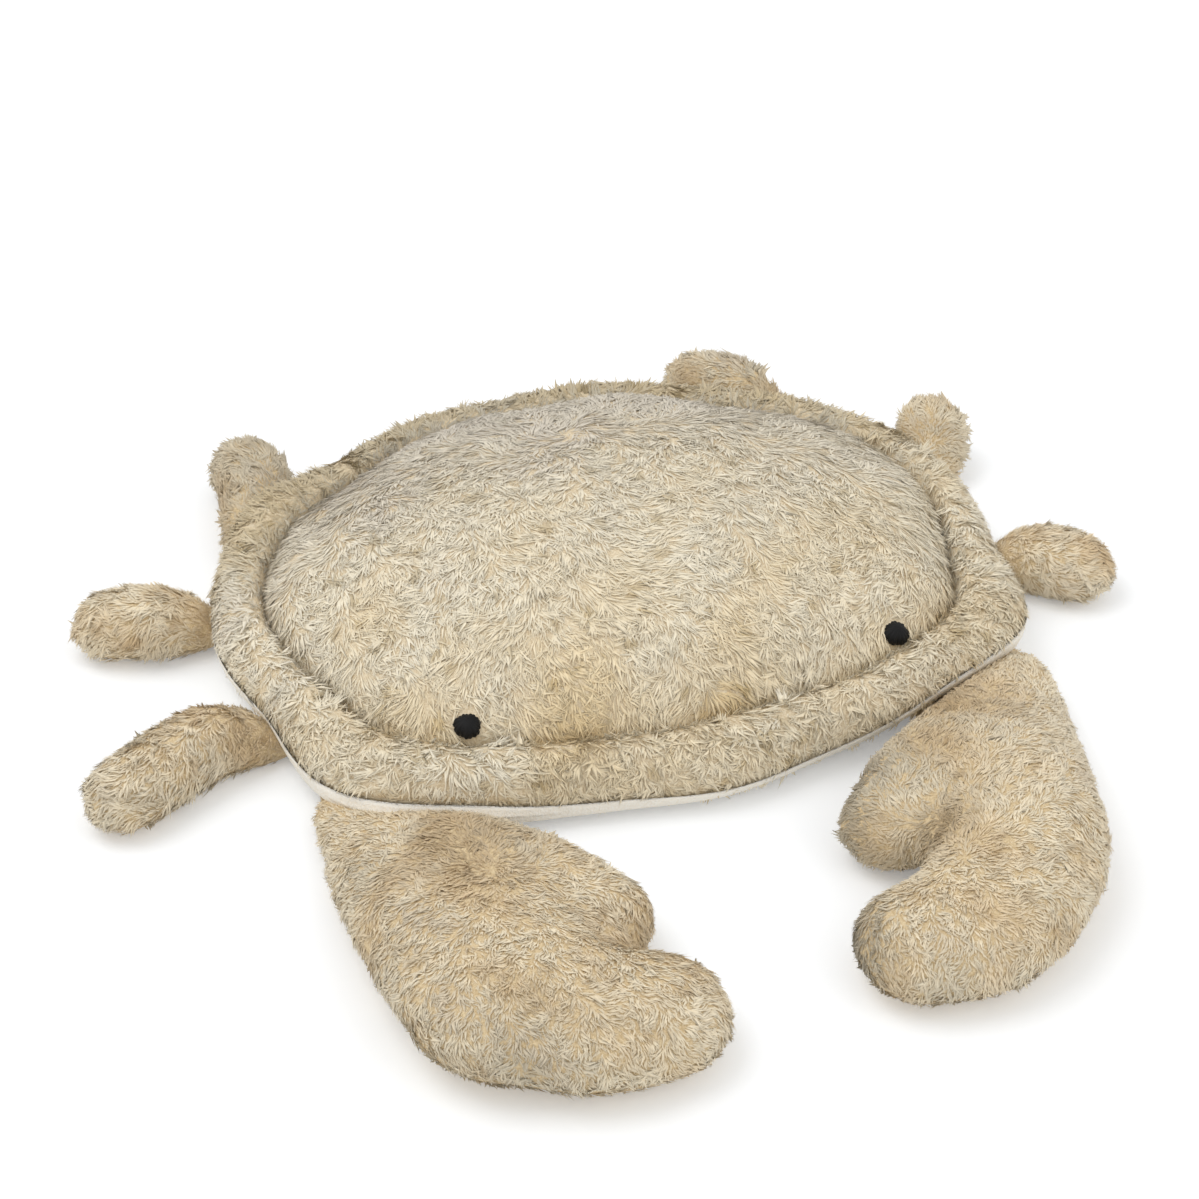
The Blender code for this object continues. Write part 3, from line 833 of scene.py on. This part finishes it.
outside = belly_sheet(bottom_height)
inside = belly_sheet(lambda angle, inset: cushion_floor(angle, inset) - CLEARANCE)
rings = len(belly_insets)
lower = ring_sheet(rings, ROUND_STEPS, 0, len(outside) - 1, False)
upper = ring_sheet(rings, ROUND_STEPS, 0, len(outside) - 1, True)
inner_number = np.concatenate((np.arange(ROUND_STEPS), np.arange(len(outside) - ROUND_STEPS) + len(outside)))
belly_points = np.concatenate((outside, inside[ROUND_STEPS:]))
belly = build_mesh("belly_cloth", belly_points, np.concatenate((lower, inner_number[upper])))
BELLY_PLUSH = backing_material(
    "short_plush_off_white", rgb(250, 242, 227), rgb(255, 252, 244), BELLY_GRAIN,
)
belly.data.materials.append(BELLY_PLUSH)
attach(belly, "root")
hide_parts("belly_panel")


# The legs and claws: tubes of the same plush, stuffed and sewn in under the edge seam. The cloth of
# each is its frame solid, made a little fuller outside the carapace, drawn in where it is sewn, and
# blown up a little from inside as the filling does.

WELD_REACH = 0.00001
LIMB_VOXEL = 0.0050
LIMB_SMOOTHING, LIMB_SMOOTHINGS = 0.5, 3
# How far the filled cloth may stand out from the frame's solid
CLOTH_OUT = 0.0006
SWELL_STEPS = 20
# Pressure from inside a leg is higher than in a claw, as there is less cloth for it to bear on
SWELL_PRESSURE = {"leg": 40.0, "claw": 4.0}
SWELL_REACH = 0.0010
# How much fuller the fur makes a limb outside the carapace than the frame has it
FULLER = {"leg": 0.0011, "claw": 0.0003}
# How far the edge seam draws a limb's cloth in where it comes out from under the carapace
ROOT_DRAWN_IN = {"leg": 0.0008, "claw": 0.0022}
ROOT_WIDTH = 0.008
# How far outside the carapace's edge a limb is fuller in full
FULLER_FADE = 0.010
# The share that a point moves grows with its normal's height, so the underside stays on the floor
MOVES_WITH_HEIGHT, MOVES_AT_SIDE = 1.5, 1.1
ON_FLOOR = 0.0002


def mesh_points(mesh):
    """A mesh's points."""
    points = np.zeros(len(mesh.vertices) * 3)
    mesh.vertices.foreach_get("co", points)
    return points.reshape(-1, 3)


def set_points(mesh, points):
    """Moves a mesh's points to new places."""
    mesh.vertices.foreach_set("co", points.astype(np.float32).ravel())


def mesh_triangles(mesh):
    """A mesh's faces cut into triangles."""
    mesh.calc_loop_triangles()
    triangles = np.zeros(len(mesh.loop_triangles) * 3, np.int64)
    mesh.loop_triangles.foreach_get("vertices", triangles)
    return triangles.reshape(-1, 3)


def finish_modifiers(made):
    """Puts the shape that an object's modifiers give into its mesh, and removes them."""
    finished = bpy.data.meshes.new_from_object(made.evaluated_get(bpy.context.evaluated_depsgraph_get()))
    before = made.data
    made.modifiers.clear()
    made.data = finished
    bpy.data.meshes.remove(before)


def limb_cloth(node):
    """The cloth of one limb before it is filled: the frame's solid remeshed and smoothed, fuller where
    it is free, drawn in at the seam, and held in by the room that it swells into."""
    made = bpy.data.objects.new(f"{node}_cloth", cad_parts[node].data.copy())
    bpy.context.scene.collection.objects.link(made)
    made.data.materials.clear()
    made.modifiers.new("weld", "WELD").merge_threshold = WELD_REACH
    remesh = made.modifiers.new("remesh", "REMESH")
    remesh.mode = "VOXEL"
    remesh.voxel_size = LIMB_VOXEL
    smooth = made.modifiers.new("smooth", "SMOOTH")
    smooth.factor = LIMB_SMOOTHING
    smooth.iterations = LIMB_SMOOTHINGS
    finish_modifiers(made)
    points = mesh_points(made.data)
    normals = vertex_normals(points, mesh_triangles(made.data))
    outside = np.clip(-edge_distance(points) / FULLER_FADE, 0, 1)[:, None]
    kind = node.split("_")[0]
    at_root = np.exp(-((edge_distance(points) / ROOT_WIDTH) ** 2))[:, None]
    depth = SWELL_REACH - CLOTH_OUT - FULLER[kind] * outside + ROOT_DRAWN_IN[kind] * at_root
    points -= normals * depth * np.clip(normals[:, 2:] * MOVES_WITH_HEIGHT + MOVES_AT_SIDE, 0, 1)
    set_points(made.data, points)
    return made


def swell(pieces):
    """Fills pieces as cloth under pressure from inside, all in one run, and keeps each point within a
    reach of where it was."""
    for made in pieces:
        filling = made.modifiers.new("filling", "CLOTH")
        filling.settings.use_pressure = True
        filling.settings.uniform_pressure_force = SWELL_PRESSURE[made.name.split("_")[0]]
        filling.settings.effector_weights.gravity = 0
        filling.point_cache.frame_end = SWELL_STEPS
    for step in range(1, SWELL_STEPS + 1):
        bpy.context.scene.frame_set(step)
    evaluated = bpy.context.evaluated_depsgraph_get()
    for made in pieces:
        before = mesh_points(made.data)
        moved = mesh_points(made.evaluated_get(evaluated).data) - before
        far = np.maximum(np.linalg.norm(moved, axis=1, keepdims=True), 1e-9)
        set_points(made.data, before + moved * np.minimum(1, SWELL_REACH / far))
    for made in pieces:
        made.modifiers.clear()
    bpy.context.scene.frame_set(1)


# Its darker tone is partly painted shade: it shows between the fibres, where shade falls
LIMB_BACKING = backing_material("plush_backing_tan", rgb(196, 170, 128), rgb(234, 214, 176))
# Root, tip, tan and grey; the tan is also the painted shade in crevices
LIMB_PILE = pile_material(
    "plush_pile_tan", rgb(233, 215, 180), rgb(240, 227, 200), rgb(212, 180, 132), rgb(200, 182, 158),
)
# Node, fibres, where its fur fans out from or where it heads, and how much darker it is
LIMBS = (
    ("leg_left_front", 6300, None, (-0.80, -0.60), 0.05),
    ("leg_left_middle", 4900, None, (-1.0, 0.10), 0.0),
    ("leg_left_rear", 4900, None, (-0.15, 1.0), 0.24),
    ("leg_right_front", 4800, None, (0.85, -0.50), -0.02),
    ("leg_right_middle", 3900, None, (0.45, 0.85), 0.07),
    ("leg_right_rear", 4900, None, (-0.45, 0.85), 0.13),
    ("claw_left", 33600, (-0.097, -0.180), None, 0.03),
    ("claw_right", 33600, (0.043, -0.227), None, 0.02),
)
# Length, lean and curl of the fur
LIMB_FUR = {"leg": (0.0048, 0.30, 0.45), "claw": (0.0036, 0.26, 0.48)}
# Its length at the seam as a share, how much more it gets, and over which distance
ROOT_FUR, ROOT_FUR_MORE, ROOT_FUR_FADE = 0.45, 0.55, 0.012
# On the underside it thins out, and ends: at which heights of a face's normal, and its share there
THIN_BELOW, BARE_BELOW, THIN_SHARE = -0.25, -0.8, 0.6
# How far inside the carapace's edge the fur ends
NO_FUR_UNDER = 0.002
# How the fur is combed: down along a leg, and out from a point on a claw, and its swirls as above
LEG_COMB_DOWN = -0.35
CLAW_COMB = (0, -0.35, -0.2)
CLAW_FAN_ROUND = 0.06
LIMB_SWIRLS = ((0.03, 41, 0.6), (0.006, 43, 0.7))
# Painted shade in the limbs' crevices: how tan and how dark
LIMB_CREVICE_SHADE_TAN = 0.35
LIMB_CREVICE_SHADE_DARK = 0.12
LIMB_MOTTLE = 0.35
LIMB_TAN_ALL_OVER = 0.10
LIMB_PATCH_RANGE = (-0.9, 0.9)
LIMB_TONE_WANDER = 0.05
# Stains of the limbs' fur, and one painted shade: x, y, reach, towards tan, and darker. The one at the end of
# the right claw's notch is painted shade in that crease.
LIMB_STAINS_AND_SHADE = (
    (-0.100, -0.138, 0.024, 0.60, 0.22), (-0.060, -0.189, 0.008, 0.5, 0.16),
    (-0.144, -0.128, 0.018, -0.2, 0.12), (-0.142, -0.180, 0.020, -0.3, 0.10),
    (-0.117, -0.232, 0.022, -0.2, 0.18), (0.052, -0.1765, 0.010, 0.5, 0.40),
    (0.036, -0.139, 0.010, -0.2, 0.36), (0.026, -0.155, 0.011, -0.2, 0.42),
    (0.024, -0.168, 0.008, 0.0, 0.20), (0.009, -0.202, 0.011, -0.2, 0.40),
    (0.004, -0.217, 0.011, -0.1, 0.34), (0.027, -0.241, 0.010, 0.0, 0.14),
    (0.084, -0.113, 0.013, 0.3, 0.10), (0.085, -0.125, 0.024, 0.4, 0.14),
    (0.0500, -0.142, 0.018, 0.1, 0.25), (-0.150, 0.034, 0.013, 0.4, 0.10),
    (-0.144, -0.028, 0.014, 0.3, 0.08), (0.103, 0.105, 0.012, 0.1, 0.12),
)
cloths = {node: limb_cloth(node) for node, *_ in LIMBS}
swell(list(cloths.values()))

for node, fibres, fan, towards, darker in LIMBS:
    cloth = cloths[node]
    cloth.modifiers.new("fine", "SUBSURF").levels = 1
    finish_modifiers(cloth)
    points, triangles = mesh_points(cloth.data), mesh_triangles(cloth.data)
    points[:, 2] = np.maximum(points[:, 2], ON_FLOOR)
    normals = vertex_normals(points, triangles)
    set_points(cloth.data, points)
    cloth.data.polygons.foreach_set("use_smooth", np.ones(len(cloth.data.polygons), bool))
    cloth.data.update()
    cloth.data.materials.append(LIMB_BACKING)
    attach(cloth, "root")
    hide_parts(node)

    centres = points[triangles].mean(1)
    faces_up = normals[triangles].mean(1)[:, 2]
    weight = np.where(faces_up > THIN_BELOW, 1.0, THIN_SHARE) * (faces_up >= BARE_BELOW)
    weight = weight * (edge_distance(centres) <= NO_FUR_UNDER)
    place, normal = scatter(points, normals, triangles, weight, fibres, dice)
    if fan is None:
        comb = np.broadcast_to(np.array((*towards, LEG_COMB_DOWN)), place.shape)
    else:
        comb = place - (*fan, 0)
        comb[:, 2] = 0
        comb = comb / (np.linalg.norm(comb, axis=1, keepdims=True) + CLAW_FAN_ROUND) + CLAW_COMB
    comb = swirled(comb, normal, sum(wander(place, size, seed) * share for size, seed, share in LIMB_SWIRLS))
    length, lean, curl = LIMB_FUR[node.split("_")[0]]
    length = length * (ROOT_FUR + ROOT_FUR_MORE * np.clip(-edge_distance(place) / ROOT_FUR_FADE, 0, 1))
    points, normals, tone, crevice_shade = grow(place, normal, comb, dice, length, lean, curl, 70)
    # Stains, with painted shade in the crease at the end of the right claw's notch
    tan, dark = stains_and_painted_light(place, LIMB_STAINS_AND_SHADE)
    # Crevices get painted shade: tan here, and darker in the tone below
    patch = LIMB_MOTTLE * wander(place, 0.03, 42) + LIMB_TAN_ALL_OVER + tan + LIMB_CREVICE_SHADE_TAN * crevice_shade
    patch = np.clip(patch, *LIMB_PATCH_RANGE)
    tone = tone + LIMB_TONE_WANDER * wander(place, 0.012, 44) - LIMB_CREVICE_SHADE_DARK * crevice_shade - dark - darker
    pile_piece(f"{node}_pile", points, normals, tone, patch, LIMB_PILE)


# The eyes: two rounds of black satin stitch, worked in parallel threads over a little padding, at the
# foot of the dome just inside the quilting seam.

EYE_RADIUS = 0.0049
EYE_STAND = 0.0013
EYE_SUNK = 0.0022
THREAD_PITCH = 0.00045
THREAD_ROUND = 0.00010
EYE_SEGMENTS = 64
EYE_RINGS = 24
# Waves round the uneven stitched edge: how many, where they begin, and how high as a share
EYE_WAVES = ((3, 1, 0.045), (7, 0, 0.045), (17, 2, 0.05))
SATIN_ROUGHNESS, SATIN_SHEEN = 0.6, 0.05


def eye_points(middle, outward):
    """A low round dome across the outward direction, with a ridge for each parallel thread."""
    outward = unit(outward)
    across = unit(np.cross(outward, np.array((0.0, 0.0, 1.0))))
    up = np.cross(across, outward)
    tilt = np.linspace(0, np.pi, EYE_RINGS + 1)[1:-1, None]
    turn = np.linspace(0, 2 * np.pi, EYE_SEGMENTS, endpoint=False)[None]
    uneven = sum((share * np.sin(waves * turn + start) for waves, start, share in EYE_WAVES), 1)
    x = EYE_RADIUS * uneven * np.sin(tilt) * np.cos(turn)
    y = EYE_RADIUS * uneven * np.sin(tilt) * np.sin(turn)
    z = (EYE_STAND + EYE_SUNK) * np.cos(tilt) + 0 * turn
    z = z + THREAD_ROUND * np.abs(np.sin(np.pi * x / THREAD_PITCH)) * (z > 0)
    rings = middle - outward * EYE_SUNK + x[..., None] * across + y[..., None] * up + z[..., None] * outward
    top = middle + outward * EYE_STAND
    bottom = middle - outward * (2 * EYE_SUNK + EYE_STAND)
    return np.concatenate((rings.reshape(-1, 3), top[None], bottom[None]))


satin, shader = plain_material("black_satin_stitch", SATIN_ROUGHNESS, SATIN_SHEEN)
shader.inputs["Base Color"].default_value = rgb(9, 8, 8)
for side_name, seat in EYE_SEATS.items():
    points = eye_points(*seat)
    body = ring_sheet(EYE_RINGS - 1, EYE_SEGMENTS, 0, len(points) - 1, True)
    i = np.arange(EYE_SEGMENTS)
    cap = np.stack((i, np.full(EYE_SEGMENTS, len(points) - 2), (i + 1) % EYE_SEGMENTS), 1)
    eye = build_mesh(f"eye_stitching_{side_name}", points, np.concatenate((body, cap)))
    eye.data.materials.append(satin)
    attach(eye, "root")
    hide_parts(f"eye_{side_name}")


# The floor, the lamps and the camera: a white studio floor under wide soft lamps, seen from the
# crab's front right and from above.

FLOOR_HALF = 6.0
FLOOR_COLOUR = (0.885, 0.90, 0.915, 1)
# A little light of the floor's own, which is seen and mirrored but lights nothing
FLOOR_GLOW = 0.21
SKY_STRENGTH = 0.78
# Name, place, width and power
LAMPS = (("key_lamp", (-0.9, 0.3, 1.9), 1.6, 12), ("fill_lamp", (1.2, -1.5, 1.4), 1.6, 6))
CAMERA_LENS = 100
CAMERA_SENSOR = 36
CAMERA_NEAR = 0.05
# The camera's right, up and back directions and its place
CAMERA_STAND = (
    (0.94264, -0.33381, 0.0), (0.19856, 0.56070, 0.80386), (-0.26834, -0.75775, 0.59482),
    (-0.34022, -0.93993, 0.75062),
)

corners = np.array(((-1, -1, 0), (1, -1, 0), (1, 1, 0), (-1, 1, 0))) * FLOOR_HALF
floor = build_mesh("floor", corners, np.array(((0, 1, 2), (0, 2, 3))))
floor_material = bpy.data.materials.new("white_floor")
floor_material.use_nodes = True
tree = floor_material.node_tree
shader = tree.nodes["Principled BSDF"]
shader.inputs["Base Color"].default_value = FLOOR_COLOUR
shader.inputs["Roughness"].default_value = 1.0
shader.inputs["Specular IOR Level"].default_value = 0.0
seen = add_node(tree, "ShaderNodeLightPath")
glossy = add_node(tree, "ShaderNodeMath", operation="MAXIMUM")
through = add_node(tree, "ShaderNodeMath", operation="MAXIMUM")
glow = add_node(tree, "ShaderNodeMath", operation="MULTIPLY", in_1=FLOOR_GLOW)
tree.links.new(seen.outputs["Is Camera Ray"], glossy.inputs[0])
tree.links.new(seen.outputs["Is Glossy Ray"], glossy.inputs[1])
tree.links.new(glossy.outputs[0], through.inputs[0])
tree.links.new(seen.outputs["Is Transmission Ray"], through.inputs[1])
tree.links.new(through.outputs[0], glow.inputs[0])
shader.inputs["Emission Color"].default_value = (1, 1, 1, 1)
tree.links.new(glow.outputs[0], shader.inputs["Emission Strength"])
floor.data.materials.append(floor_material)

world = bpy.data.worlds.new("studio")
bpy.context.scene.world = world
world.use_nodes = True
background = world.node_tree.nodes["Background"]
background.inputs["Color"].default_value = (1, 1, 1, 1)
background.inputs["Strength"].default_value = SKY_STRENGTH


def stand(made, right, up, back, place):
    """Puts a lamp or camera at a place, by the directions of its right side, its top and its back."""
    matrix = np.eye(4)
    matrix[:3] = np.transpose((right, up, back, place))
    made.matrix_world = Matrix(matrix.tolist())


for name, place, size, power in LAMPS:
    lamp = bpy.data.lights.new(name, "AREA")
    lamp.shape = "DISK"
    lamp.size = size
    lamp.energy = power
    lamp_object = bpy.data.objects.new(name, lamp)
    bpy.context.scene.collection.objects.link(lamp_object)
    back = unit(np.array(place, float))
    right = unit(np.cross((0, 0, 1), back))
    stand(lamp_object, right, np.cross(back, right), back, place)

camera_data = bpy.data.cameras.new("camera")
camera_data.lens = CAMERA_LENS
camera_data.sensor_width = CAMERA_SENSOR
camera_data.clip_start = CAMERA_NEAR
camera = bpy.data.objects.new("camera", camera_data)
bpy.context.scene.collection.objects.link(camera)
stand(camera, *CAMERA_STAND)
bpy.context.scene.camera = camera

bpy.context.scene.view_settings.view_transform = "Standard"

bpy.context.view_layer.update()
